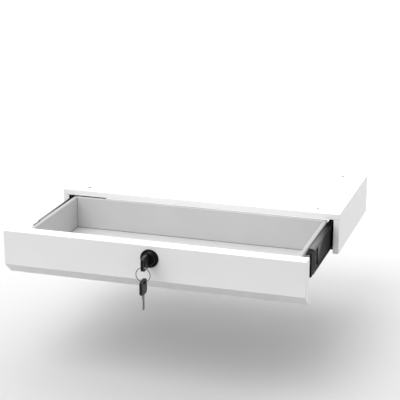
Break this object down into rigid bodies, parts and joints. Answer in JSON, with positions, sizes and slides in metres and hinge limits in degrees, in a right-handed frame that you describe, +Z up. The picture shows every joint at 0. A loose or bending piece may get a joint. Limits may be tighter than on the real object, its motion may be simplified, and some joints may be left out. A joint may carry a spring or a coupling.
{
  "type": "under desk drawer",
  "caption": "Shallow white drawer that screws to the underside of a desk, on black full-extension ball-bearing slides, with a bevelled front and a key lock.",
  "frame": {"origin": "centre of the four desk screw holes, on the top face of the carcass", "axes": "+Z up out of the top face, +Y to the back, -Y the way the drawer opens, +X to the right"},
  "size_m": [0.6, 0.6425, 0.1152],
  "materials": {
    "front_white": "white foil-wrapped board, satin",
    "carcass_white": "white melamine-faced board, satin",
    "drawer_white": "white foil-wrapped board, satin",
    "bottom_white": "thin white lacquered hardboard",
    "dowel_beech": "plain fluted beech",
    "slide_black": "black passivated steel, semi-gloss",
    "cage_steel": "plain steel strip",
    "ball_steel": "polished, lightly greased",
    "slide_plastic": "moulded, fine grain",
    "rosette_black": "moulded, satin",
    "lock_black": "black chromated zinc",
    "lock_zinc": "die-cast zinc, plated",
    "screw_steel": "zinc-plated steel",
    "slide_screw_black": "black passivated steel",
    "key_plastic": "moulded grip, fine grain",
    "key_nickel": "nickel-plated, milled",
    "ring_steel": "polished wire"
  },
  "bodies": {
    "carcass": {"top_panel": "carcass_white", "left_side_panel": "carcass_white", "right_side_panel": "carcass_white", "back_panel": "carcass_white", "carcass_dowels": "dowel_beech", "strike_plate": "lock_zinc", "strike_screws": "screw_steel", "left_cabinet_member": "slide_black", "left_cabinet_screws": "slide_screw_black", "right_cabinet_member": "slide_black", "right_cabinet_screws": "slide_screw_black"},
    "drawer": {"drawer_front": "front_white", "left_drawer_side": "drawer_white", "right_drawer_side": "drawer_white", "drawer_back": "drawer_white", "drawer_bottom": "bottom_white", "front_dowels": "dowel_beech", "box_screws": "screw_steel", "bottom_screws": "screw_steel", "lock_rosette": "rosette_black", "lock_barrel": "lock_black", "lock_case": "lock_zinc", "lock_screws": "screw_steel", "left_drawer_member": "slide_black", "left_drawer_screws": "slide_screw_black", "right_drawer_member": "slide_black", "right_drawer_screws": "slide_screw_black"},
    "left_middle": {"left_middle_member": "slide_black", "left_front_stop": "slide_plastic"},
    "left_outer_cage": {"left_outer_cage": "cage_steel", "left_outer_balls": "ball_steel"},
    "left_inner_cage": {"left_inner_cage": "cage_steel", "left_inner_balls": "ball_steel"},
    "left_lever": {"left_release_lever": "slide_plastic"},
    "right_middle": {"right_middle_member": "slide_black", "right_front_stop": "slide_plastic"},
    "right_outer_cage": {"right_outer_cage": "cage_steel", "right_outer_balls": "ball_steel"},
    "right_inner_cage": {"right_inner_cage": "cage_steel", "right_inner_balls": "ball_steel"},
    "right_lever": {"right_release_lever": "slide_plastic"},
    "plug": {"lock_plug": "lock_black"},
    "bolt": {"lock_bolt": "lock_zinc"},
    "key": {"key_blade": "key_nickel", "key_head": "key_plastic"},
    "ring": {"key_ring": "ring_steel"},
    "spare_key": {"spare_key_blade": "key_nickel", "spare_key_head": "key_plastic"}
  },
  "joints": [
    {"name": "drawer_slide", "type": "slide", "parent": "carcass", "child": "drawer", "axis": [0, -1, 0], "range_m": [-0.2635, 0]},
    {"name": "left_middle_slide", "type": "slide", "parent": "carcass", "child": "left_middle", "axis": [0, -1, 0], "range_m": [-0.18901, 0]},
    {"name": "left_outer_cage_slide", "type": "slide", "parent": "carcass", "child": "left_outer_cage", "axis": [0, -1, 0], "range_m": [-0.09451, 0]},
    {"name": "left_inner_cage_slide", "type": "slide", "parent": "carcass", "child": "left_inner_cage", "axis": [0, -1, 0], "range_m": [-0.22626, 0]},
    {"name": "left_lever_tilt", "type": "hinge", "parent": "drawer", "child": "left_lever", "pos_m": [-0.2762, -0.2633, -0.045], "axis": [1, 0, 0], "range_deg": [0, 8], "stiffness_Nm_per_rad": 0.03},
    {"name": "right_middle_slide", "type": "slide", "parent": "carcass", "child": "right_middle", "axis": [0, -1, 0], "range_m": [-0.18901, 0]},
    {"name": "right_outer_cage_slide", "type": "slide", "parent": "carcass", "child": "right_outer_cage", "axis": [0, -1, 0], "range_m": [-0.09451, 0]},
    {"name": "right_inner_cage_slide", "type": "slide", "parent": "carcass", "child": "right_inner_cage", "axis": [0, -1, 0], "range_m": [-0.22626, 0]},
    {"name": "right_lever_tilt", "type": "hinge", "parent": "drawer", "child": "right_lever", "pos_m": [0.2762, -0.2633, -0.045], "axis": [1, 0, 0], "range_deg": [0, 8], "stiffness_Nm_per_rad": 0.03},
    {"name": "plug_turn", "type": "hinge", "parent": "drawer", "child": "plug", "pos_m": [0, -0.4428, -0.025], "axis": [0, 1, 0], "range_deg": [0, 90]},
    {"name": "bolt_slide", "type": "slide", "parent": "drawer", "child": "bolt", "axis": [0, 0, 1], "range_m": [0, 0.00708]},
    {"name": "key_slide", "type": "slide", "parent": "plug", "child": "key", "axis": [0, -1, 0], "range_m": [0, 0.025]},
    {"name": "ring_swing", "type": "hinge", "parent": "key", "child": "ring", "pos_m": [0, -0.47905, -0.0311], "axis": [1, 0, 0], "range_deg": [-20, 20]},
    {"name": "spare_key_swing", "type": "hinge", "parent": "ring", "child": "spare_key", "pos_m": [0, -0.47905, -0.0591], "axis": [1, 0, 0], "range_deg": [-15, 15]}
  ],
  "couplings": [
    {"joint": "left_middle_slide", "follows": "drawer_slide", "ratio": 0.71727},
    {"joint": "left_outer_cage_slide", "follows": "drawer_slide", "ratio": 0.35863},
    {"joint": "left_inner_cage_slide", "follows": "drawer_slide", "ratio": 0.85863},
    {"joint": "right_middle_slide", "follows": "drawer_slide", "ratio": 0.71727},
    {"joint": "right_outer_cage_slide", "follows": "drawer_slide", "ratio": 0.35863},
    {"joint": "right_inner_cage_slide", "follows": "drawer_slide", "ratio": 0.85863},
    {"joint": "bolt_slide", "follows": "plug_turn", "m_per_rad": 0.0045016}
  ]
}
